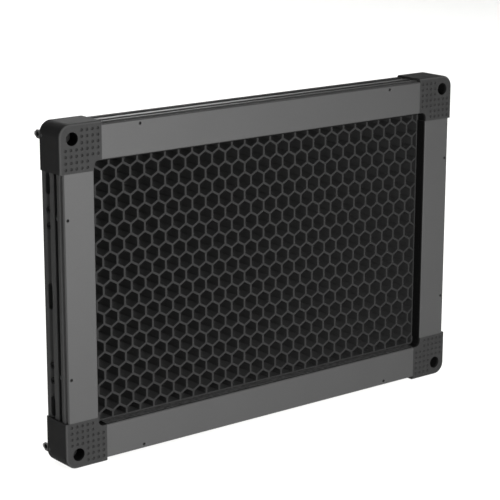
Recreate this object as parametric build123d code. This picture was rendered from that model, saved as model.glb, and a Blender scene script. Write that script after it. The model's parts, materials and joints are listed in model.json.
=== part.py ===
"""Framed honeycomb light grid: two stacked rail frames, corner blocks, core and fold-away lugs.

Axes: +X to the right, +Y from the open front face towards the lamp, +Z up.
Origin: centre of the rear seating plane, the plane of the four corner blocks' rear faces.
In-plane distances called "inset" are measured inwards from the outer line of the rails.
Distances called "depth" are measured from the front face towards the lamp.
All sizes are in millimetres.
"""
from math import ceil, cos, hypot, pi, sin, sqrt
import os

from build123d import *

# ---- driving sizes: window and rails
window_width = 260.0
window_height = 160.0
rail_width = 21.5
rail_rear_setback = 0.3

# ---- honeycomb core
cell_pitch = 10.0
cell_wall = 1.4
core_depth = 13.0
core_recess = 7.2
core_side_gap = 0.5
core_edge_wall = 0.6
core_boss_height = 1.2
smallest_cell = 4.0

# ---- front rails
face_thickness = 2.2
front_rail_depth = 5.9
outer_skirt = 6.2
inner_skirt = 1.6
face_bevel = 0.7
face_inner_bevel = 0.5
side_step = 0.7
rib_start = 2.9

# ---- rear rails
rail_gap = 3.4
rear_rail_width = 13.5
outer_wall = 3.2
inner_wall = 2.3
front_wall = 2.0
rear_wall = 2.0
rear_edge_bevel = 0.3
groove_depth = 1.5
groove_half_width = 2.0
groove_from_rear = 5.8

# ---- liners and retainers
liner_wall = 0.6
liner_foot_gap = 2.0
liner_set_down = 0.8
retainer_thickness = 1.3
retainer_side_gap = 0.2
retainer_boss_gap = 0.2

# ---- corner blocks
block_size = 28.5
block_proud = 1.3
block_corner_radius = 7.5
block_edge_radius = 1.2
window_corner_radius = 3.3
dimple_margin = 2.6
dimple_sphere = 1.0
dimple_depth = 0.8
dimple_count = 7
plain_corner_count = 3

# ---- corner screw (socket head) and key
corner_hole_radius = 3.95
corner_hole_depth = 9.6
corner_head_radius = 3.5
corner_head_height = 2.0
corner_shank_radius = 2.0
corner_shank_cover = 1.2
corner_socket_radius = 1.75
corner_socket_depth = 1.1
shank_clearance = 0.1
key_clearance = 0.15
key_past_screw = 4.5
key_reach_top = 45.0

# ---- joint plates in the front rails
plate_thickness = 2.0
plate_hole_gap = 0.45
plate_skirt_gap = 0.5
plate_reach = 49.0
plate_clearance = 0.1

# ---- face screws and gap spacers
face_screw_inset = 3.2
face_screw_from_end = 26.7
pin_hole_radius = 0.95
pin_hole_depth = 2.0
face_head_radius = 0.9
face_head_setdown = 0.6
face_shank_radius = 0.6
face_slot_width = 0.35
face_slot_depth = 0.4
spacer_radius = 2.2

# ---- side screws and side slots
side_screw_from_end = 22.8
side_screw_spacing = 9.5
side_recess_radius = 2.5
side_recess_depth = 1.8
side_head_radius = 2.25
side_head_height = 1.3
side_shank_radius = 1.25
side_shank_length = 6.5
side_socket_radius = 0.9
side_socket_depth = 0.8
slot_width = 5.2
middle_slot_length = 16.4
end_slot_length = 13.0
end_slot_margin = 0.8

# ---- retainer screws (countersunk)
retainer_screw_from_end = 24.3
csk_radius = 2.0
csk_height = 1.0
retainer_shank_radius = 1.0
cross_width = 0.5
cross_length = 2.2
cross_depth = 0.5

# ---- fold-away lugs
lug_slot_width = 2.8
lug_slot_cover = 0.8
lug_side_clearance = 0.1
lug_radius = 2.6
lug_end_gap = 0.4
lug_pivot_inset = 6.9
lug_pivot_from_rear = 2.9
lug_reach = 9.1
lug_eye_distance = 5.5
lug_eye_radius = 1.5
lug_nose_radius = 1.4
lug_pin_radius = 0.9
pin_running_clearance = 0.05
pin_inner_bite = 0.7
washer_radius = 2.3
washer_thickness = 0.3

# ---- derived sizes
half_w = window_width / 2 + rail_width
half_h = window_height / 2 + rail_width
block_end = block_size - block_proud
top_rail_length = 2 * (half_w - block_end)
side_rail_length = 2 * (half_h - block_end)
rear_rail_start = front_rail_depth + rail_gap
core_end = core_recess + core_depth
rear_rail_end = core_end + retainer_thickness
frame_depth = rear_rail_end + rail_rear_setback
groove_centre = rear_rail_end - groove_from_rear
cavity_start = rear_rail_start + front_wall
cavity_end = core_end - rear_wall
cavity_inset = (outer_wall, rear_rail_width - inner_wall)
key_line = (cavity_inset[0] + cavity_inset[1]) / 2
core_inset = rear_rail_width + core_side_gap
field_inset = rail_width + liner_wall
liner_foot_start = core_inset + liner_foot_gap
boss_inset = field_inset - core_edge_wall
retainer_inset = boss_inset - retainer_boss_gap
plate_start = key_line + corner_hole_radius + plate_hole_gap
plate_end = rail_width - inner_skirt - plate_skirt_gap
dimple_pitch = (block_end - 2 * dimple_margin) / (dimple_count - 1)
corner_shank_end = cavity_end - corner_shank_cover
side_screw_outer_z = side_rail_length / 2 - side_screw_from_end
side_screw_z = (side_screw_outer_z - side_screw_spacing, side_screw_outer_z)
key_reach_side = half_h - side_screw_z[0] + key_past_screw
lug_slot_out = half_w + block_proud - lug_slot_cover
lug_slot_in = lug_slot_out - lug_slot_width
lug_out = lug_slot_out - lug_side_clearance
lug_in = lug_slot_in + washer_thickness + lug_side_clearance
lug_pivot_depth = frame_depth - lug_pivot_from_rear
lug_pivot_z = half_h - lug_pivot_inset
far = 400.0

CORNERS = {"top_left": (-1, 1), "top_right": (1, 1), "bottom_left": (-1, -1), "bottom_right": (1, -1)}
SIDES = {"top": 0, "right": 90, "bottom": 180, "left": -90}


def y_at(depth):
    """Y of a given depth behind the front face."""
    return depth - frame_depth


# ---- small builders

def plate(points, start, end):
    """Flat plate: an outline of (x, z) points, from one depth to another."""
    outline = Polyline(*[(x, y_at(start), z) for x, z in points], close=True)
    return extrude(make_face(outline), amount=end - start, dir=(0, 1, 0))


def rectangle(x0, x1, z0, z1, start, end):
    """Rectangular block between two depths."""
    return plate([(x0, z0), (x1, z0), (x1, z1), (x0, z1)], start, end)


def rod_y(x, z, radius, start, end):
    """Round bar along Y."""
    circle = Plane((x, y_at(start), z), x_dir=(1, 0, 0), z_dir=(0, 1, 0)) * Circle(radius)
    return extrude(circle, amount=end - start)


def rod_x(depth, z, radius, x0, x1):
    """Round bar along X, from x0 to x1."""
    circle = Plane((x0, y_at(depth), z), x_dir=(0, 1, 0), z_dir=(1, 0, 0)) * Circle(radius)
    return extrude(circle, amount=x1 - x0)


def rod_z(x, depth, radius, z0, z1):
    """Round bar along Z, from z0 to z1."""
    circle = Plane((x, y_at(depth), z0), x_dir=(1, 0, 0), z_dir=(0, 0, 1)) * Circle(radius)
    return extrude(circle, amount=z1 - z0)


def plate_x(points, x0, x1):
    """Flat plate along X: an outline of (depth, z) points, from x0 to x1."""
    outline = Polyline(*[(x0, y_at(d), z) for d, z in points], close=True)
    return extrude(make_face(outline), amount=x1 - x0, dir=(1, 0, 0))


def hexagon(a, b, radius):
    """Corners of a socket's hexagon about (a, b)."""
    return [(a + radius * cos(i * pi / 3), b + radius * sin(i * pi / 3)) for i in range(6)]


def cut_all(body, tools):
    """Cut every tool from a body in one step."""
    return body - tools if tools else body


def rail_bar(profile, length):
    """Bar along X with its outer face at z = 0; the profile is (inset, depth) points."""
    outline = Polyline(*[(-length / 2, y_at(d), -s) for s, d in profile], close=True)
    return extrude(make_face(outline), amount=length, dir=(1, 0, 0))


def on_side(shape, side):
    """Carry a bar built at z = 0 to its side of the frame."""
    half = half_h if side in ("top", "bottom") else half_w
    return Rot(0, SIDES[side], 0) * Pos(0, 0, half) * shape


def at_corner(shape, corner):
    """Carry a piece built in the top right corner to another corner."""
    sx, sz = CORNERS[corner]
    if sx < 0:
        shape = mirror(shape, about=Plane.YZ)
    if sz < 0:
        shape = mirror(shape, about=Plane.XY)
    return shape


def rail_length(side):
    return top_rail_length if side in ("top", "bottom") else side_rail_length


def face_screw_offset(side):
    return rail_length(side) / 2 - face_screw_from_end


def retainer_screw_offsets(side):
    """One screw near each end, and two more spread evenly between them on the long rails."""
    end = rail_length(side) / 2 - retainer_screw_from_end
    return [-end, -end / 3, end / 3, end] if side in ("top", "bottom") else [-end, end]


# ---- frame rails

def front_rail(side):
    """Face channel: flat front face, stepped outer skirt, thin inner skirt, open at the back."""
    profile = [
        (side_step + face_bevel, 0), (rail_width - face_inner_bevel, 0),
        (rail_width, face_inner_bevel), (rail_width, front_rail_depth),
        (rail_width - inner_skirt, front_rail_depth), (rail_width - inner_skirt, face_thickness),
        (outer_skirt, face_thickness), (outer_skirt, front_rail_depth),
        (0, front_rail_depth), (0, rib_start + side_step),
        (side_step, rib_start), (side_step, face_bevel),
    ]
    bar = rail_bar(profile, rail_length(side))
    tools = []
    for sign in (-1, 1):
        x = sign * face_screw_offset(side)
        tools.append(rod_y(x, -face_screw_inset, pin_hole_radius, -1, pin_hole_depth))
        tools.append(rod_y(x, -face_screw_inset, face_shank_radius + shank_clearance,
                           0, front_rail_depth + 1))
    return on_side(cut_all(bar, tools), side)


def rear_rail_profile():
    """Outline of the rear tube, with its bevelled front edge, V-groove and rear rebate."""
    return [
        (rear_edge_bevel, rear_rail_start), (rear_rail_width, rear_rail_start),
        (rear_rail_width, core_end), (outer_wall, core_end), (outer_wall, rear_rail_end),
        (0, rear_rail_end), (0, groove_centre + groove_half_width),
        (groove_depth, groove_centre), (0, groove_centre - groove_half_width),
        (0, rear_rail_start + rear_edge_bevel),
    ]


def slot_tool(x, length):
    """Round-ended slot through the outer wall of a rear rail, at local x."""
    straight = length - slot_width
    where = Plane((x, y_at(groove_centre), 1), x_dir=(1, 0, 0), z_dir=(0, 0, -1))
    return extrude(where * SlotCenterToCenter(straight, slot_width), amount=outer_wall + 1)


def rear_rail(side):
    """Rear tube; the two side rails carry slots and recessed screws in their outer wall."""
    bar = rail_bar(rear_rail_profile(), rail_length(side))
    cavity = [
        (cavity_inset[0], cavity_start), (cavity_inset[1], cavity_start),
        (cavity_inset[1], cavity_end), (cavity_inset[0], cavity_end),
    ]
    tools = [rail_bar(cavity, rail_length(side) + 2)]
    for sign in (-1, 1):
        x = sign * face_screw_offset(side)
        tools.append(rod_y(x, -face_screw_inset, face_shank_radius, rear_rail_start - 1, cavity_start + 1))
    for x in retainer_screw_offsets(side):
        tools.append(rod_y(x, -key_line, retainer_shank_radius, cavity_end - 1, core_end + 1))
    if side in ("left", "right"):
        tools.append(slot_tool(0, middle_slot_length))
        end_x = side_rail_length / 2 - end_slot_margin - end_slot_length / 2
        for sign in (-1, 1):
            tools.append(slot_tool(sign * end_x, end_slot_length))
            for z in side_screw_z:
                tools.append(rod_z(sign * z, groove_centre, side_recess_radius, -side_recess_depth, 1))
                tools.append(rod_z(sign * z, groove_centre, side_shank_radius, -outer_wall - 1, 1))
    return on_side(cut_all(bar, tools), side)


def liner(side):
    """Black angle strip that lines the window wall; its foot is gripped in front of the core."""
    profile = [
        (rail_width, liner_set_down), (field_inset, liner_set_down),
        (field_inset, core_recess), (liner_foot_start, core_recess),
        (liner_foot_start, front_rail_depth), (rail_width, front_rail_depth),
    ]
    return on_side(rail_bar(profile, rail_length(side)), side)


def retainer(side):
    """Flat strip behind the core's rim, lying in the rear rail's rebate."""
    start = outer_wall + retainer_side_gap
    profile = [
        (start, core_end), (retainer_inset, core_end),
        (retainer_inset, core_end + retainer_thickness), (start, core_end + retainer_thickness),
    ]
    bar = rail_bar(profile, rail_length(side))
    tools = [countersunk(x, -key_line, shank_clearance) for x in retainer_screw_offsets(side)]
    return on_side(cut_all(bar, tools), side)


def countersunk(x, z, slack):
    """Countersunk screw form, head flush with the rear of the retainer."""
    rear = core_end + retainer_thickness
    cone = Plane((x, y_at(rear - csk_height / 2), z), x_dir=(1, 0, 0), z_dir=(0, 1, 0))
    head = cone * Cone(retainer_shank_radius + slack, csk_radius + slack, csk_height)
    neck = rod_y(x, z, retainer_shank_radius + slack, cavity_end, rear - csk_height)
    return head + neck


# ---- honeycomb core

def clip_side(points, axis, limit):
    """Part of a convex outline on the low side of a limit along one axis."""
    kept = []
    for i, here in enumerate(points):
        there = points[(i + 1) % len(points)]
        inside, next_inside = here[axis] <= limit, there[axis] <= limit
        if inside:
            kept.append(here)
        if inside != next_inside:
            t = (limit - here[axis]) / (there[axis] - here[axis])
            kept.append(tuple(a + t * (b - a) for a, b in zip(here, there)))
    return kept


def cell_outline(x, z, across, half_x, half_z):
    """Upright hexagon about (x, z), cut back to the field; empty when nothing useful is left."""
    radius = across / sqrt(3)
    points = [(x + radius * sin(i * pi / 3), z + radius * cos(i * pi / 3)) for i in range(6)]
    for flip_x, flip_z in ((1, 1), (-1, -1)):
        points = [(flip_x * a, flip_z * b) for a, b in points]
        for axis, limit in ((0, half_x), (1, half_z)):
            if points:
                points = clip_side(points, axis, limit)
        points = [(flip_x * a, flip_z * b) for a, b in points]
    if len(points) < 3:
        return []
    pairs = zip(points, points[1:] + points[:1])
    area = abs(sum(a[0] * b[1] - b[0] * a[1] for a, b in pairs)) / 2
    return points if area > smallest_cell else []


def core_outline(inset):
    """Rectangle at a given inset, as a wire in the core's front plane."""
    x, z, y = half_w - inset, half_h - inset, y_at(core_recess)
    return Wire(Polyline((-x, y, -z), (x, y, -z), (x, y, z), (-x, y, z), close=True).edges())


def honeycomb_core():
    """One moulded panel: upright hexagonal cells, a solid rim, and a rear boss inside the retainers."""
    field_x, field_z = half_w - field_inset, half_h - field_inset
    row_pitch = cell_pitch * sqrt(3) / 2
    rows = ceil(field_z / row_pitch)
    columns = ceil(field_x / cell_pitch)
    y = y_at(core_recess)
    holes = []
    for row in range(-rows, rows + 1):
        shift = 0.0 if row % 2 else cell_pitch / 2
        for column in range(-columns - 1, columns + 1):
            x = column * cell_pitch + shift
            points = cell_outline(x, row * row_pitch, cell_pitch - cell_wall, field_x, field_z)
            if points:
                holes.append(Wire(Polyline(*[(a, y, b) for a, b in points], close=True).edges()))
    boss = core_outline(boss_inset)
    cells = extrude(Face(boss, holes), amount=core_depth + core_boss_height, dir=(0, 1, 0))
    rim = extrude(Face(core_outline(core_inset), [boss]), amount=core_depth, dir=(0, 1, 0))
    return cells + rim


# ---- corner pieces, built in the top right corner

def block_body():
    """Solid of the corner block before its pockets, with rounded outer corner and edges."""
    x1, z1 = half_w + block_proud, half_h + block_proud
    x0, z0 = x1 - block_size, z1 - block_size
    body = rectangle(x0, x1, z0, z1, 0, frame_depth)
    outer = body.edges().filter_by(Axis.Y).sort_by(lambda e: e.center().X + e.center().Z)[-1]
    body = fillet(outer, block_corner_radius)
    window_x, window_z = half_w - rail_width, half_h - rail_width
    body -= rectangle(x0 - 1, window_x, z0 - 1, window_z, -1, far)
    inner = [e for e in body.edges().filter_by(Axis.Y)
             if hypot(e.center().X - window_x, e.center().Z - window_z) < 0.01]
    body = fillet(inner, window_corner_radius)
    rims = [e for e in body.edges() if on_outer_rim(e, x0, z0, x1, z1)]
    return fillet(rims, block_edge_radius)


def on_outer_rim(edge, x0, z0, x1, z1):
    """True for the front and rear edges along the block's two outer faces and outer corner."""
    centre = edge.center()
    flat = abs(centre.Y - y_at(0)) < 0.01 or abs(centre.Y) < 0.01
    level = edge.bounding_box().size.Y < 0.01
    reach = 0.01 + block_corner_radius
    outside = abs(centre.X - x1) < 0.01 or abs(centre.Z - z1) < 0.01
    corner = centre.X > x1 - reach and centre.Z > z1 - reach
    return flat and level and (outside or corner)


def dimple_tools():
    """Rows of shallow round dimples, with the corner round the screw hole left plain."""
    x0, z0 = half_w - block_end + dimple_margin, half_h - block_end + dimple_margin
    clear_x, clear_z = half_w - rail_width + dimple_sphere, half_h - rail_width + dimple_sphere
    tools = []
    for i in range(dimple_count):
        for j in range(dimple_count):
            x, z = x0 + i * dimple_pitch, z0 + j * dimple_pitch
            plain = i >= dimple_count - plain_corner_count and j >= dimple_count - plain_corner_count
            in_window = x < clear_x and z < clear_z
            if not plain and not in_window:
                centre = y_at(dimple_depth - dimple_sphere)
                tools.append(Pos(x, centre, z) * Sphere(dimple_sphere))
    return tools


def key_outline(slack, reach_x, reach_z):
    """L outline of the corner key or, with slack, of its pocket, in (x, z)."""
    low, high = cavity_inset[0] + key_clearance - slack, cavity_inset[1] - key_clearance + slack
    return [
        (half_w - low, half_h - low), (half_w - reach_x, half_h - low),
        (half_w - reach_x, half_h - high), (half_w - high, half_h - high),
        (half_w - high, half_h - reach_z), (half_w - low, half_h - reach_z),
    ]


def plate_outline(slack, reach):
    """L outline of the joint plate or, with slack, of its pocket, in (x, z)."""
    low, high = plate_start - slack, plate_end + slack
    return [
        (half_w - low, half_h - low), (half_w - reach, half_h - low),
        (half_w - reach, half_h - high), (half_w - high, half_h - high),
        (half_w - high, half_h - reach), (half_w - low, half_h - reach),
    ]


def corner_block(corner):
    """Moulded block: screw counterbore, key and plate pockets, core notch, lug slot, dimples."""
    hole_x, hole_z = half_w - key_line, half_h - key_line
    body = block_body()
    notch_x, notch_z = half_w - rear_rail_width, half_h - rear_rail_width
    reach = block_end + 1
    slot_top = lug_pivot_z + lug_radius + lug_end_gap
    slot_bottom = lug_pivot_z - lug_reach - lug_end_gap
    slot_floor = lug_pivot_depth - lug_radius - lug_end_gap
    tools = [
        rectangle(notch_x - far, notch_x, notch_z - far, notch_z, core_recess, core_end),
        rectangle(notch_x - far, half_w - retainer_inset, notch_z - far, half_h - retainer_inset,
                  core_recess, far),
        plate(key_outline(key_clearance, reach, reach), cavity_start, cavity_end),
        plate(plate_outline(plate_clearance, reach), face_thickness, front_rail_depth),
        rod_y(hole_x, hole_z, corner_hole_radius, -1, corner_hole_depth),
        rod_y(hole_x, hole_z, corner_shank_radius + shank_clearance, 0, cavity_start + 1),
        rectangle(lug_slot_in, lug_slot_out, slot_bottom, slot_top, slot_floor, frame_depth + 1),
        rod_x(lug_pivot_depth, lug_pivot_z, lug_pin_radius, lug_slot_in - pin_inner_bite, far),
    ]
    return at_corner(cut_all(body, tools + dimple_tools()), corner)


def corner_key(corner):
    """L-shaped bar inside the rear rails; the side arm takes two side screws."""
    start, end = cavity_start + key_clearance, cavity_end - key_clearance
    body = plate(key_outline(0, key_reach_top, key_reach_side), start, end)
    tools = [rod_y(half_w - key_line, half_h - key_line, corner_shank_radius, 0, corner_shank_end)]
    screw_end = half_w - side_recess_depth + side_head_height - side_shank_length
    for z in side_screw_z:
        tools.append(rod_x(groove_centre, z, side_shank_radius, screw_end, far))
    return at_corner(cut_all(body, tools), corner)


def joint_plate(corner):
    """Flat L plate inside the front rails, which ties the two face channels together."""
    start = face_thickness + plate_clearance
    return at_corner(plate(plate_outline(0, plate_reach), start, start + plate_thickness), corner)


# ---- fold-away lugs

def lug_blank(x0, x1):
    """Tongue that points to the rear: round root, round eye boss and a tapered nose."""
    base = lug_pivot_depth
    eye = base + lug_eye_distance
    tip = base + lug_reach - lug_nose_radius
    edge = [(base, lug_radius), (eye, lug_radius), (tip, lug_nose_radius)]
    outline = [(d, lug_pivot_z + h) for d, h in edge] + [(d, lug_pivot_z - h) for d, h in reversed(edge)]
    return plate_x(outline, x0, x1) + [rod_x(d, lug_pivot_z, r, x0, x1) for d, r in edge]


def eye_lug(corner):
    """Folding lug with a pivot bore and an eye for the lamp's catch."""
    body = lug_blank(lug_in, lug_out)
    tools = [
        rod_x(lug_pivot_depth, lug_pivot_z, lug_pin_radius + pin_running_clearance, lug_in - 1, far),
        rod_x(lug_pivot_depth + lug_eye_distance, lug_pivot_z, lug_eye_radius, lug_in - 1, far),
    ]
    return at_corner(cut_all(body, tools), corner)


def lug_pin(corner):
    """Plain pin, pressed through the block's side wall and the lug."""
    x0 = lug_slot_in - pin_inner_bite
    x1 = half_w + block_proud
    return at_corner(rod_x(lug_pivot_depth, lug_pivot_z, lug_pin_radius, x0, x1), corner)


def friction_washer():
    """Thin washer that loads the lug so that it stays where it is put."""
    body = rod_x(lug_pivot_depth, lug_pivot_z, washer_radius, lug_slot_in, lug_slot_in + washer_thickness)
    bore = lug_pin_radius + pin_running_clearance
    return body - rod_x(lug_pivot_depth, lug_pivot_z, bore, lug_slot_in - 1, lug_slot_out)


# ---- fasteners

def corner_screw():
    """Socket head screw at the bottom of the corner counterbore."""
    x, z = half_w - key_line, half_h - key_line
    head_start = corner_hole_depth - corner_head_height
    head = rod_y(x, z, corner_head_radius, head_start, corner_hole_depth)
    shank = rod_y(x, z, corner_shank_radius, corner_hole_depth, corner_shank_end)
    socket = plate(hexagon(x, z, corner_socket_radius), head_start - 1, head_start + corner_socket_depth)
    return head + shank - socket


def side_screw(z):
    """Low-head socket screw in a side rail's recess, built on the right."""
    outer = half_w - side_recess_depth + side_head_height
    seat = half_w - side_recess_depth
    head = rod_x(groove_centre, z, side_head_radius, seat, outer)
    shank = rod_x(groove_centre, z, side_shank_radius, outer - side_shank_length, seat)
    socket = plate_x(hexagon(groove_centre, z, side_socket_radius), outer - side_socket_depth, outer + 1)
    return head + shank - socket


def face_screw(side, sign):
    """Slotted screw below a pin hole, through the gap spacer into the rear rail."""
    x, z = sign * face_screw_offset(side), -face_screw_inset
    head = rod_y(x, z, face_head_radius, face_head_setdown, pin_hole_depth)
    shank = rod_y(x, z, face_shank_radius, pin_hole_depth, cavity_start)
    slot_end = face_head_setdown + face_slot_depth
    slot = rectangle(x - pin_hole_radius, x + pin_hole_radius, z - face_slot_width / 2,
                     z + face_slot_width / 2, 0, slot_end)
    return on_side(head + shank - slot, side)


def gap_spacer(side, sign):
    """Short sleeve that keeps the front and rear rails apart at a face screw."""
    x, z = sign * face_screw_offset(side), -face_screw_inset
    body = rod_y(x, z, spacer_radius, front_rail_depth, rear_rail_start)
    bore = rod_y(x, z, face_shank_radius + shank_clearance, 0, rear_rail_start + 1)
    return on_side(body - bore, side)


def retainer_screw(side, x):
    """Countersunk cross-head screw that holds a retainer strip."""
    z = -key_line
    rear = core_end + retainer_thickness
    bars = [(cross_length, cross_width), (cross_width, cross_length)]
    cross = [rectangle(x - a / 2, x + a / 2, z - b / 2, z + b / 2, rear - cross_depth, rear + 1)
             for a, b in bars]
    return on_side(cut_all(countersunk(x, z, 0), cross), side)


# ---- assembly

def all_nodes():
    """Every node's name and its solids."""
    nodes = {"honeycomb_core": [honeycomb_core()]}
    for side in SIDES:
        nodes["front_rail_" + side] = [front_rail(side)]
        nodes["rear_rail_" + side] = [rear_rail(side)]
        nodes["liner_" + side] = [liner(side)]
        nodes["retainer_" + side] = [retainer(side)]
    for corner in CORNERS:
        nodes["corner_block_" + corner] = [corner_block(corner)]
        nodes["corner_key_" + corner] = [corner_key(corner)]
        nodes["joint_plate_" + corner] = [joint_plate(corner)]
        nodes["eye_lug_" + corner] = [eye_lug(corner)]
        nodes["lug_pin_" + corner] = [lug_pin(corner)]
    nodes["friction_washers"] = [at_corner(friction_washer(), c) for c in CORNERS]
    nodes["corner_screws"] = [at_corner(corner_screw(), c) for c in CORNERS]
    right = [side_screw(sign * z) for sign in (-1, 1) for z in side_screw_z]
    nodes["side_screws_right"] = right
    nodes["side_screws_left"] = [mirror(screw, about=Plane.YZ) for screw in right]
    nodes["face_screws"] = [face_screw(side, sign) for side in SIDES for sign in (-1, 1)]
    nodes["gap_spacers"] = [gap_spacer(side, sign) for side in SIDES for sign in (-1, 1)]
    nodes["retainer_screws"] = [retainer_screw(s, x) for s in SIDES for x in retainer_screw_offsets(s)]
    return nodes


def write_parts():
    """One STEP file per node."""
    os.makedirs("parts", exist_ok=True)
    for name, pieces in all_nodes().items():
        solids = [solid for piece in pieces for solid in piece.solids()]
        shape = solids[0] if len(solids) == 1 else Compound(children=solids)
        export_step(shape, "parts/" + name + ".step")
        print(name, len(solids))


write_parts()
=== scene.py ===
import json
import math

import bmesh
import bpy
import numpy as np
from mathutils import Matrix, Vector

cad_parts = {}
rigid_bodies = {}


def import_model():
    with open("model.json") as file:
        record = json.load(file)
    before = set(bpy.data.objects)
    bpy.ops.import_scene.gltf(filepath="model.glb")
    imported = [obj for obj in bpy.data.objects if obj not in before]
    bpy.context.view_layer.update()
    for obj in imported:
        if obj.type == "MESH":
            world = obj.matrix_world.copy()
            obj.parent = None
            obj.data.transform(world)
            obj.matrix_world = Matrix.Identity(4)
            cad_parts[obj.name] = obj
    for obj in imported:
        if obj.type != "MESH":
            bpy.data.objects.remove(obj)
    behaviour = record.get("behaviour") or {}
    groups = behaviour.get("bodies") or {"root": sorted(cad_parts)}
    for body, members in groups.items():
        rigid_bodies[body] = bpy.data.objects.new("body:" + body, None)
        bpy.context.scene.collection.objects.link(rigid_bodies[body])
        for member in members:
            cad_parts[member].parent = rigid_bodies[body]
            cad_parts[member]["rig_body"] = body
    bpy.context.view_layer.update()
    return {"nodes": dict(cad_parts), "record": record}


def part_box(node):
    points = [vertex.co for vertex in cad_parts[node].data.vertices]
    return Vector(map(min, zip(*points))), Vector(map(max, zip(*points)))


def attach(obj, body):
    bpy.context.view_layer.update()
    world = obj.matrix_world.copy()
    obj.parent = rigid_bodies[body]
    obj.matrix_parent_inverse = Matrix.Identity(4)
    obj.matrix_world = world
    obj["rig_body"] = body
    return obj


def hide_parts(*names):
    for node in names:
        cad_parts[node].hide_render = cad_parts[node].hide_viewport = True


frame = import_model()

# framed honeycomb light grid: every node gets its finish, and the core, rails, lugs and screws finer meshes
mm = 0.001
nodes = frame["nodes"]
slotOf = {part["node"]: part["material_slot"] for part in frame["record"]["subparts"]}
objectPieces = bpy.data.collections.new("objectPieces")   # what the object's own lights fall on
stagePieces = bpy.data.collections.new("stagePieces")     # what the floor's light falls on


def linearRgb(hexCode):
    # sRGB bytes to linear light: the low part is a straight line, the rest a 2.4 power curve
    parts = [int(hexCode[i:i + 2], 16) / 255 for i in (0, 2, 4)]
    return tuple(c / 12.92 if c <= 0.04045 else ((c + 0.055) / 1.055) ** 2.4 for c in parts) + (1.0,)


def addNode(tree, kind, settings=None, values=None, links=None):
    # settings go on the node, values on its input sockets, links come from other nodes' outputs
    node = tree.nodes.new(kind)
    for name, value in (settings or {}).items():
        setattr(node, name, value)
    for name, value in (values or {}).items():
        node.inputs[name].default_value = value
    for name, source in (links or {}).items():
        tree.links.new(source, node.inputs[name])
    return node


def newMaterial(name, values):
    material = bpy.data.materials.new(name)
    material.use_nodes = True
    tree = material.node_tree
    tree.nodes.clear()
    shader = addNode(tree, "ShaderNodeBsdfPrincipled", values=values)
    addNode(tree, "ShaderNodeOutputMaterial", links={"Surface": shader.outputs["BSDF"]})
    return material, tree, shader


anodisedFinish = {
    "dark": "232323", "light": "262626", "metallic": 0.1, "roughness": 0.6, "roughnessSpread": 0.06,
    "specular": 0.2,
    "patchMm": 45.0, "grainMm": 0.7, "grainHeightMm": 0.014,
}


def makeAnodisedAluminium():
    # grey anodised, bead-blasted extrusion: the blasting gives an even satin with no mirror image,
    # the dye leaves broad, faint patches; the blast grain is drawn coarser than life so that it shows
    f = anodisedFinish
    material, tree, shader = newMaterial("greyAnodisedAluminium", {
        "Metallic": f["metallic"], "Specular IOR Level": f["specular"]})
    point = addNode(tree, "ShaderNodeTexCoord").outputs["Object"]
    patch = addNode(tree, "ShaderNodeTexNoise", values={"Scale": 1 / (f["patchMm"] * mm), "Detail": 3.0},
                    links={"Vector": point})
    tone = addNode(tree, "ShaderNodeMix", {"data_type": "RGBA"},
                   {6: linearRgb(f["dark"]), 7: linearRgb(f["light"])}, {0: patch.outputs["Fac"]})
    tree.links.new(tone.outputs[2], shader.inputs["Base Color"])
    grain = addNode(tree, "ShaderNodeTexNoise", values={"Scale": 1 / (f["grainMm"] * mm), "Detail": 4.0},
                    links={"Vector": point})
    rough = addNode(tree, "ShaderNodeMapRange", values={
        "From Min": 0.3, "From Max": 0.7, "To Min": f["roughness"] - f["roughnessSpread"],
        "To Max": f["roughness"] + f["roughnessSpread"]}, links={"Value": grain.outputs["Fac"]})
    tree.links.new(rough.outputs["Result"], shader.inputs["Roughness"])
    bump = addNode(tree, "ShaderNodeBump", values={"Strength": 0.6, "Distance": f["grainHeightMm"] * mm},
                   links={"Height": grain.outputs["Fac"]})
    tree.links.new(bump.outputs["Normal"], shader.inputs["Normal"])
    return material


blockFinish = {
    "dark": "161616", "light": "1C1C1C", "roughness": 0.7, "specular": 0.06,
    "pebbleMm": 0.8, "pebbleHeightMm": 0.05, "mottleMm": 6.0,
    "cornerRadiusMm": 7.5,
    # painted shade: the near-black tone laid into the dimples and screw wells
    "recess": "030303", "recessFromMm": 0.1, "recessToMm": 2.2, "recessInsetMm": 1.8, "recessSoftMm": 0.4,
    # painted highlight: the paler tone laid along the front outer edge
    "edge": "282828", "edgeMm": 1.2, "edgeFade": 0.4,
}


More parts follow.
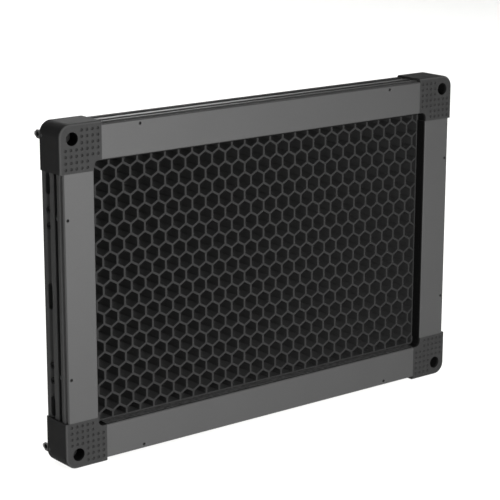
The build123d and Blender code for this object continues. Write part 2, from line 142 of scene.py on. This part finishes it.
def makeMouldedNylon():
    # glass-filled nylon from a spark-eroded mould: dull, with a fine pebble and faint flow mottling;
    # painted shade darkens its dimples and screw wells to near black, and a painted highlight lightens the
    # front outer edge
    f = blockFinish
    low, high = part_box("corner_block_top_right")
    radius = f["cornerRadiusMm"] * mm
    material, tree, shader = newMaterial("mouldedGlassFilledNylon", {
        "Roughness": f["roughness"], "IOR": 1.53, "Specular IOR Level": f["specular"]})
    point = addNode(tree, "ShaderNodeTexCoord").outputs["Object"]
    mottle = addNode(tree, "ShaderNodeTexNoise", values={"Scale": 1 / (f["mottleMm"] * mm), "Detail": 5.0},
                     links={"Vector": point})
    body = addNode(tree, "ShaderNodeMix", {"data_type": "RGBA"},
                   {6: linearRgb(f["dark"]), 7: linearRgb(f["light"])}, {0: mottle.outputs["Fac"]})
    # reach: how far a point lies beyond the centre of the corner's arc, all four corners folded into one;
    # it equals the arc's radius on the outline and falls inwards
    folded = addNode(tree, "ShaderNodeVectorMath", {"operation": "ABSOLUTE"}, links={0: point})
    beyond = addNode(tree, "ShaderNodeVectorMath", {"operation": "SUBTRACT"},
                     {1: (high.x - radius, 1.0, high.z - radius)}, {0: folded.outputs["Vector"]})
    outward = addNode(tree, "ShaderNodeVectorMath", {"operation": "MAXIMUM"}, {1: (0.0, 0.0, 0.0)},
                      {0: beyond.outputs["Vector"]})
    reach = addNode(tree, "ShaderNodeVectorMath", {"operation": "LENGTH"},
                    links={0: outward.outputs["Vector"]})
    place = addNode(tree, "ShaderNodeSeparateXYZ", links={"Vector": point})
    # painted shade: deeper than recessFromMm behind the front face and more than recessInsetMm inside the
    # outline, the colour turns near black in place of the shade in the wells
    deep = addNode(tree, "ShaderNodeMapRange", values={
        "From Min": low.y + f["recessFromMm"] * mm, "From Max": low.y + f["recessToMm"] * mm},
        links={"Value": place.outputs["Y"]})
    within = addNode(tree, "ShaderNodeMapRange", values={
        "From Min": radius - f["recessInsetMm"] * mm,
        "From Max": radius - (f["recessInsetMm"] - f["recessSoftMm"]) * mm,
        "To Min": 1.0, "To Max": 0.0}, links={"Value": reach.outputs["Value"]})
    recess = addNode(tree, "ShaderNodeMath", {"operation": "MULTIPLY"},
                     links={0: deep.outputs["Result"], 1: within.outputs["Result"]})
    withPaintedShade = addNode(tree, "ShaderNodeMix", {"data_type": "RGBA"}, {7: linearRgb(f["recess"])},
                     {0: recess.outputs["Value"], 6: body.outputs[2]})
    # painted highlight: within edgeMm of the front face and of the outline the colour turns paler, in place
    # of the light the bevel catches
    shallow = addNode(tree, "ShaderNodeMapRange", values={
        "From Min": low.y + f["edgeFade"] * f["edgeMm"] * mm, "From Max": low.y + f["edgeMm"] * mm,
        "To Min": 1.0, "To Max": 0.0}, links={"Value": place.outputs["Y"]})
    outer = addNode(tree, "ShaderNodeMapRange", values={
        "From Min": radius - f["edgeMm"] * mm, "From Max": radius - f["edgeFade"] * f["edgeMm"] * mm},
        links={"Value": reach.outputs["Value"]})
    paintedHighlightMask = addNode(tree, "ShaderNodeMath", {"operation": "MULTIPLY"},
                     links={0: shallow.outputs["Result"], 1: outer.outputs["Result"]})
    withPaintedHighlight = addNode(tree, "ShaderNodeMix", {"data_type": "RGBA"}, {7: linearRgb(f["edge"])},
                    {0: paintedHighlightMask.outputs["Value"], 6: withPaintedShade.outputs[2]})
    tree.links.new(withPaintedHighlight.outputs[2], shader.inputs["Base Color"])
    pebble = addNode(tree, "ShaderNodeTexVoronoi", values={"Scale": 1 / (f["pebbleMm"] * mm)},
                     links={"Vector": point})
    bump = addNode(tree, "ShaderNodeBump", values={"Strength": 0.6, "Distance": f["pebbleHeightMm"] * mm},
                   links={"Height": pebble.outputs["Distance"]})
    tree.links.new(bump.outputs["Normal"], shader.inputs["Normal"])
    return material


cellFinish = {
    "dark": "0F0F0F", "light": "191919", "roughness": 0.75, "specular": 0.06,
    "mottleMm": 12.0, "grainMm": 0.7, "grainHeightMm": 0.03,
}


def makeMouldedAbs():
    # black ABS cells: satin from the mould, a little uneven where the flows met behind each cell
    f = cellFinish
    material, tree, shader = newMaterial("blackMouldedAbs", {
        "Roughness": f["roughness"], "IOR": 1.54, "Specular IOR Level": f["specular"]})
    point = addNode(tree, "ShaderNodeTexCoord").outputs["Object"]
    mottle = addNode(tree, "ShaderNodeTexNoise", values={
        "Scale": 1 / (f["mottleMm"] * mm), "Detail": 8.0, "Roughness": 0.75}, links={"Vector": point})
    tone = addNode(tree, "ShaderNodeMix", {"data_type": "RGBA"},
                   {6: linearRgb(f["dark"]), 7: linearRgb(f["light"])}, {0: mottle.outputs["Fac"]})
    tree.links.new(tone.outputs[2], shader.inputs["Base Color"])
    grain = addNode(tree, "ShaderNodeTexNoise", values={"Scale": 1 / (f["grainMm"] * mm), "Detail": 2.0},
                    links={"Vector": point})
    bump = addNode(tree, "ShaderNodeBump", values={"Strength": 0.5, "Distance": f["grainHeightMm"] * mm},
                   links={"Height": grain.outputs["Fac"]})
    tree.links.new(bump.outputs["Normal"], shader.inputs["Normal"])
    return material


lugFinish = {
    "coat": "141415", "steel": "8C8C8D", "roughness": 0.4, "wearFromMm": 4.6, "wearToMm": 6.0,
    "wearDriftMm": 1.2, "chipMm": 1.1, "chipHeightMm": 0.02,
}


def makeWornCoatedSteel():
    # black-coated steel: the coat has rubbed through to bright steel at the nose, where the catch slides
    f = lugFinish
    material, tree, shader = newMaterial("wornBlackCoatedSteel", {"Roughness": f["roughness"]})
    point = addNode(tree, "ShaderNodeTexCoord").outputs["Object"]
    place = addNode(tree, "ShaderNodeSeparateXYZ", links={"Vector": point})
    chips = addNode(tree, "ShaderNodeTexNoise", values={"Scale": 1 / (f["chipMm"] * mm), "Detail": 4.0},
                    links={"Vector": point})
    uneven = addNode(tree, "ShaderNodeMath", {"operation": "MULTIPLY_ADD"}, {1: f["wearDriftMm"] * mm},
                     {0: chips.outputs["Fac"], 2: place.outputs["Y"]})
    worn = addNode(tree, "ShaderNodeMapRange", values={
        "From Min": (f["wearFromMm"] + f["wearDriftMm"] / 2) * mm,
        "From Max": (f["wearToMm"] + f["wearDriftMm"] / 2) * mm},
        links={"Value": uneven.outputs["Value"]})
    tone = addNode(tree, "ShaderNodeMix", {"data_type": "RGBA"},
                   {6: linearRgb(f["coat"]), 7: linearRgb(f["steel"])}, {0: worn.outputs["Result"]})
    tree.links.new(tone.outputs[2], shader.inputs["Base Color"])
    tree.links.new(worn.outputs["Result"], shader.inputs["Metallic"])
    bump = addNode(tree, "ShaderNodeBump", values={"Strength": 0.4, "Distance": f["chipHeightMm"] * mm},
                   links={"Height": chips.outputs["Fac"]})
    tree.links.new(bump.outputs["Normal"], shader.inputs["Normal"])
    return material


# finishes of the small parts: name, two tones, roughness, metallic, specular, grain width and height in mm
smallFinishes = {
    "retainer_sheet": ("blackPowderCoatedSheet", "161616", "1D1D1D", 0.55, 0.0, 0.3, 0.9, 0.04),
    "key_aluminium": ("millFinishAluminium", "8E9092", "A3A5A8", 0.35, 1.0, 0.5, 0.8, 0.01),
    "plate_steel": ("zincPlatedSteel", "8A8B8C", "9DA0A3", 0.38, 1.0, 0.5, 2.0, 0.01),
    "pin_steel": ("phosphatedSteel", "1E1E1F", "29292A", 0.5, 0.6, 0.4, 0.5, 0.01),
    "washer_nylon": ("naturalNylon", "C8C6BC", "D6D4CB", 0.5, 0.0, 0.4, 0.8, 0.01),
    "screw_black": ("blackOxideSteel", "060606", "0A0A0A", 0.6, 0.0, 0.06, 0.5, 0.01),
    "spacer_aluminium": ("darkAnodisedSleeve", "2C2C2D", "363637", 0.45, 0.4, 0.4, 0.6, 0.01),
}


linerFinish = {
    "foam": "050505", "dust": "3E3E3E", "roughness": 0.9, "specular": 0.03,
    "poreMm": 1.2, "poreHeightMm": 0.04, "speckMm": 2.2,
}


def makeFoamTape():
    # black EVA foam tape: matt and faintly porous; grey dust together with painted top light lightens, in
    # patches, the stretches that face upwards
    f = linerFinish
    material, tree, shader = newMaterial("blackEvaFoamTape", {
        "Roughness": f["roughness"], "Specular IOR Level": f["specular"]})
    point = addNode(tree, "ShaderNodeTexCoord").outputs["Object"]
    facing = addNode(tree, "ShaderNodeNewGeometry")
    upright = addNode(tree, "ShaderNodeSeparateXYZ", links={"Vector": facing.outputs["Normal"]})
    # painted light mixed with dust: faces turned upwards take the paler tone in noise patches, partly in
    # place of the light that falls on them from above
    upwards = addNode(tree, "ShaderNodeMapRange", values={"From Min": 0.5, "From Max": 0.9},
                      links={"Value": upright.outputs["Z"]})
    specks = addNode(tree, "ShaderNodeTexNoise", values={
        "Scale": 1 / (f["speckMm"] * mm), "Detail": 6.0, "Roughness": 0.7}, links={"Vector": point})
    patches = addNode(tree, "ShaderNodeMapRange", values={"From Min": 0.3, "From Max": 0.7},
                      links={"Value": specks.outputs["Fac"]})
    dustAndTopLightMask = addNode(tree, "ShaderNodeMath", {"operation": "MULTIPLY"},
                    links={0: upwards.outputs["Result"], 1: patches.outputs["Result"]})
    tone = addNode(tree, "ShaderNodeMix", {"data_type": "RGBA"},
                   {6: linearRgb(f["foam"]), 7: linearRgb(f["dust"])}, {0: dustAndTopLightMask.outputs["Value"]})
    tree.links.new(tone.outputs[2], shader.inputs["Base Color"])
    pores = addNode(tree, "ShaderNodeTexNoise", values={"Scale": 1 / (f["poreMm"] * mm), "Detail": 3.0},
                    links={"Vector": point})
    bump = addNode(tree, "ShaderNodeBump", values={"Strength": 0.5, "Distance": f["poreHeightMm"] * mm},
                   links={"Height": pores.outputs["Fac"]})
    tree.links.new(bump.outputs["Normal"], shader.inputs["Normal"])
    return material


def makeSmallFinish(name, darkHex, lightHex, roughness, metallic, specular, grainMm, grainHeightMm):
    # small parts share one recipe: two near tones over a fine grain that also breaks the gloss
    material, tree, shader = newMaterial(name, {
        "Roughness": roughness, "Metallic": metallic, "Specular IOR Level": specular})
    point = addNode(tree, "ShaderNodeTexCoord").outputs["Object"]
    grain = addNode(tree, "ShaderNodeTexNoise", values={"Scale": 1 / (grainMm * mm), "Detail": 3.0},
                    links={"Vector": point})
    tone = addNode(tree, "ShaderNodeMix", {"data_type": "RGBA"},
                   {6: linearRgb(darkHex), 7: linearRgb(lightHex)}, {0: grain.outputs["Fac"]})
    tree.links.new(tone.outputs[2], shader.inputs["Base Color"])
    bump = addNode(tree, "ShaderNodeBump", values={"Strength": 0.5, "Distance": grainHeightMm * mm},
                   links={"Height": grain.outputs["Fac"]})
    tree.links.new(bump.outputs["Normal"], shader.inputs["Normal"])
    return material


print("making materials")
finishes = {
    "rail_anodised": makeAnodisedAluminium(),
    "block_plastic": makeMouldedNylon(),
    "core_plastic": makeMouldedAbs(),
    "lug_steel": makeWornCoatedSteel(),
    "liner_black": makeFoamTape(),
}
for slotName, recipe in smallFinishes.items():
    finishes[slotName] = makeSmallFinish(*recipe)


def dress(piece, slotName):
    piece.data.materials.clear()
    piece.data.materials.append(finishes[slotName])
    objectPieces.objects.link(piece)


def addPiece(mesh, name, bodyName, nodeName):
    # a finished mesh becomes a piece that rides on its body and stands for its CAD node
    piece = bpy.data.objects.new(name, mesh)
    bpy.context.scene.collection.objects.link(piece)
    dress(piece, slotOf[nodeName])
    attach(piece, bodyName)
    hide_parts(nodeName)
    return piece


for nodeName, obj in nodes.items():
    dress(obj, slotOf[nodeName])


panelShape = {"pitchMm": 10.0, "wallMm": 1.4, "lipMm": 0.2, "lipSteps": 3, "edgeWallMm": 0.6}
onEdgeMm = 0.001        # a lattice point this near to the field's edge lies on it


def makeHoneycombPanel():
    # every cell is a stack of six-sided rings about its centre: the lattice outline on the front face,
    # a quarter-round lip (width shrinks with the sine, depth grows with one minus the cosine),
    # the straight wall, the same lip at the back and the lattice outline again;
    # a ring that would pass the edge of the field is flattened against it
    p = panelShape
    low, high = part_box("honeycomb_core")
    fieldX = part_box("liner_right")[0].x
    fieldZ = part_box("liner_top")[0].z
    pitch, wall, lip = p["pitchMm"] * mm, p["wallMm"] * mm, p["lipMm"] * mm
    turn = np.linspace(0, math.pi / 2, p["lipSteps"] + 1)
    lipAcross = pitch - wall + 2 * lip * (1 - np.sin(turn))
    lipDepth = lip * (1 - np.cos(turn))
    across = np.concatenate([[pitch], lipAcross, lipAcross[::-1], [pitch]])
    ringY = np.concatenate([[low.y], low.y + lipDepth, high.y - lipDepth[::-1], [high.y]])
    rowPitch = pitch * math.sqrt(3) / 2
    rowCount = math.ceil(fieldZ / rowPitch)
    columnCount = math.ceil(fieldX / pitch) + 1
    rows, columns = np.meshgrid(np.arange(-rowCount, rowCount + 1), np.arange(-columnCount, columnCount),
                                indexing="ij")
    centreX = (columns + np.where(rows % 2, 0.0, 0.5)) * pitch
    centreZ = rows * rowPitch
    inside = (np.abs(centreX) < fieldX + 0.3 * pitch) & (np.abs(centreZ) < fieldZ + 0.1 * pitch)
    centreX, centreZ = centreX[inside][:, None, None], centreZ[inside][:, None, None]
    angle = np.arange(6) * math.pi / 3
    radius = (across / math.sqrt(3))[None, :, None]
    inset = ((pitch - across) / 2)[None, :, None]
    x = np.clip(centreX + radius * np.sin(angle), inset - fieldX, fieldX - inset)
    z = np.clip(centreZ + radius * np.cos(angle), inset - fieldZ, fieldZ - inset)
    y = np.broadcast_to(ringY[None, :, None], x.shape)
    cells = np.stack([x, y, z], axis=-1)
    cellCount, ringCount = cells.shape[:2]
    index = np.arange(cellCount * ringCount * 6).reshape(cellCount, ringCount, 6)
    ahead = np.roll(index, -1, axis=2)
    cellQuads = np.stack([index[:, :-1], index[:, 1:], ahead[:, 1:], ahead[:, :-1]], axis=-1).reshape(-1, 4)
    # the rim: the lattice points on the field's edge, in order of their angle round the centre,
    # are carried out to the panel's outer line, over its side, back in to the boss and up its wall
    front = cells[:, 0].reshape(-1, 3)
    offEdge = np.minimum(np.abs(np.abs(front[:, 0]) - fieldX), np.abs(np.abs(front[:, 2]) - fieldZ))
    edge = np.unique(np.round(front[offEdge < onEdgeMm * mm], 7), axis=0)
    edge = edge[np.argsort(np.arctan2(edge[:, 2], edge[:, 0]))]
    edgeWall = p["edgeWallMm"] * mm
    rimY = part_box("retainer_top")[0].y
    outer = [high.x / fieldX, high.z / fieldZ]
    boss = [1 + edgeWall / fieldX, 1 + edgeWall / fieldZ]
    turns = [(1, 1, low.y), (*outer, low.y), (*outer, rimY), (*boss, rimY), (*boss, high.y), (1, 1, high.y)]
    rings = np.stack([edge * [growX, 0, growZ] + [0, ringY, 0] for growX, growZ, ringY in turns])
    rimIndex = np.arange(rings.shape[0] * rings.shape[1]).reshape(rings.shape[:2]) + cells.size // 3
    rimAhead = np.roll(rimIndex, -1, axis=1)
    rimQuads = np.stack([rimIndex[:-1], rimIndex[1:], rimAhead[1:], rimAhead[:-1]], axis=-1).reshape(-1, 4)
    points = np.concatenate([cells.reshape(-1, 3), rings.reshape(-1, 3)])
    mesh = bpy.data.meshes.new("honeycombPanel")
    mesh.from_pydata(points.tolist(), [], np.concatenate([cellQuads, rimQuads]).tolist())
    tidyMesh(mesh, 0.002, 35)
    addPiece(mesh, "honeycombPanel", "frame", "honeycomb_core")


def tidyMesh(mesh, mergeMm, sharpDegrees, flatDegrees=None):
    # points closer than mergeMm become one, faces point outwards, and edges over sharpDegrees stay crisp
    form = bmesh.new()
    form.from_mesh(mesh)
    bmesh.ops.remove_doubles(form, verts=form.verts, dist=mergeMm * mm)
    bmesh.ops.dissolve_degenerate(form, edges=form.edges, dist=mergeMm * mm)
    if flatDegrees:
        bmesh.ops.dissolve_limit(form, angle_limit=math.radians(flatDegrees), verts=form.verts,
                                 edges=form.edges)
    bmesh.ops.recalc_face_normals(form, faces=form.faces)
    form.to_mesh(mesh)
    form.free()
    mesh.shade_smooth()
    mesh.set_sharp_from_angle(angle=math.radians(sharpDegrees))


print("making the honeycomb panel")
makeHoneycombPanel()


edgeBreaks = {          # broken edge in mm of every part whose name starts so
    "front_rail": 0.25, "rear_rail": 0.25, "retainer": 0.2, "liner": 0.15, "eye_lug": 0.45,
    "corner_screws": 0.3, "side_screws": 0.2, "gap_spacers": 0.2,
}
leftAsTheyAre = {"retainer_screws"}
edgeBreakAngle = 40     # degrees between two faces, past which their edge is broken


def breakEdges(nodeName, radiusMm):
    # same part with its sharp edges broken, as a deburred or moulded part has
    mesh = nodes[nodeName].data.copy()
    tidyMesh(mesh, 0.001, 35, 0.5)
    words = nodeName.split("_")
    name = words[0] + "".join(word.capitalize() for word in words[1:]) + "Deburred"
    piece = addPiece(mesh, name, nodes[nodeName]["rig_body"], nodeName)
    bevel = piece.modifiers.new("edgeBreak", "BEVEL")
    bevel.width = radiusMm * mm
    bevel.segments = 2
    bevel.limit_method = "ANGLE"
    bevel.angle_limit = math.radians(edgeBreakAngle)
    even = piece.modifiers.new("evenFaces", "WEIGHTED_NORMAL")
    even.keep_sharp = True


print("breaking edges")
for nodeName in sorted(nodes):
    for prefix, radiusMm in edgeBreaks.items():
        if nodeName.startswith(prefix) and nodeName not in leftAsTheyAre:
            breakEdges(nodeName, radiusMm)


stageLook = {"wideMm": 20000.0, "wallAtMm": 2400.0, "wallHeightMm": 3000.0, "coveMm": 900.0,
             "paper": "F8F8F7", "world": 0.16}


def makeFloor():
    # floor and walls are one sheet of paper: flat in the middle, and at each end a quarter circle
    # and then upright, carried straight along x
    s = stageLook
    material, tree, shader = newMaterial("paleStudioPaper", {
        "Roughness": 0.95, "Specular IOR Level": 0.05, "Base Color": linearRgb(s["paper"])})
    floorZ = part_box("corner_block_bottom_left")[0].z
    cove, wallY = s["coveMm"] * mm, s["wallAtMm"] * mm
    bend = np.linspace(0, math.pi / 2, 25)
    y = np.concatenate([wallY - cove + cove * np.sin(bend), [wallY]])
    z = floorZ + np.concatenate([cove * (1 - np.cos(bend)), [s["wallHeightMm"] * mm]])
    y, z = np.concatenate([-y[::-1], y]), np.concatenate([z[::-1], z])
    x = np.array([-1, 1]) * s["wideMm"] * mm / 2
    points = np.stack([np.repeat(x, len(y)), np.tile(y, 2), np.tile(z, 2)], axis=-1)
    step = np.arange(len(y) - 1)
    quads = np.stack([step, step + len(y), step + len(y) + 1, step + 1], axis=-1)
    mesh = bpy.data.meshes.new("studioFloor")
    mesh.from_pydata(points.tolist(), [], quads.tolist())
    mesh.shade_smooth()
    mesh.materials.append(material)
    floor = bpy.data.objects.new("studioFloor", mesh)
    bpy.context.scene.collection.objects.link(floor)
    stagePieces.objects.link(floor)


# each softbox: where it stands and what it faces (m), its width (m), its power (W) and what it lights
softboxes = {
    "keySoftbox": ((-0.09, -0.64, 0.06), (-0.09, 0.0, 0.0), 0.34, 18.7, objectPieces),
    "rearSoftbox": ((0.3, 1.0, 0.05), (0.0, 0.0, 0.0), 0.8, 14.0, objectPieces),
    "rightSoftbox": ((1.2, 0.1, 0.1), (0.0, 0.0, 0.0), 0.6, 12.0, objectPieces),
    "floorSoftbox": ((0.3, 0.4, 2.6), (0.3, 0.4, 0.0), 2.6, 95.0, stagePieces),
}


def makeLights():
    world = bpy.data.worlds.new("studioRoom")
    bpy.context.scene.world = world
    world.use_nodes = True
    world.node_tree.nodes["Background"].inputs["Color"].default_value = (1, 1, 1, 1)
    world.node_tree.nodes["Background"].inputs["Strength"].default_value = stageLook["world"]
    for name, (place, aim, width, power, litPieces) in softboxes.items():
        data = bpy.data.lights.new(name, "AREA")
        data.shape = "SQUARE"
        data.size = width
        data.energy = power
        light = bpy.data.objects.new(name, data)
        light.location = place
        light.rotation_euler = (Vector(aim) - Vector(place)).to_track_quat("-Z", "Y").to_euler()
        light.visible_camera = False
        light.light_linking.receiver_collection = litPieces
        if litPieces is stagePieces:
            light.light_linking.blocker_collection = stagePieces   # the object stands in shadowless light
        bpy.context.scene.collection.objects.link(light)


cameraSet = {"place": (-0.68716, -0.87108, 0.28632), "azimuth": 38.297, "tilt": 14.324, "roll": 0.1375,
             "lens": 130.455}


def makeCamera():
    c = cameraSet
    azimuth, tilt, roll = (math.radians(c[k]) for k in ("azimuth", "tilt", "roll"))
    ahead = Vector((math.sin(azimuth), math.cos(azimuth), 0))
    forward = ahead * math.cos(tilt) - Vector((0, 0, math.sin(tilt)))
    level = Vector((math.cos(azimuth), -math.sin(azimuth), 0))
    up = level.cross(forward)
    right = math.cos(roll) * level + math.sin(roll) * up
    up = math.cos(roll) * up - math.sin(roll) * level
    data = bpy.data.cameras.new("studioCamera")
    data.lens = c["lens"]
    data.clip_start = 0.01
    camera = bpy.data.objects.new("studioCamera", data)
    turned = Matrix((right, up, -forward)).transposed().to_4x4()
    camera.matrix_world = Matrix.Translation(c["place"]) @ turned
    bpy.context.scene.collection.objects.link(camera)
    bpy.context.scene.camera = camera


print("setting the stage")
makeFloor()
makeLights()
makeCamera()
bpy.context.scene.view_settings.view_transform = "Standard"
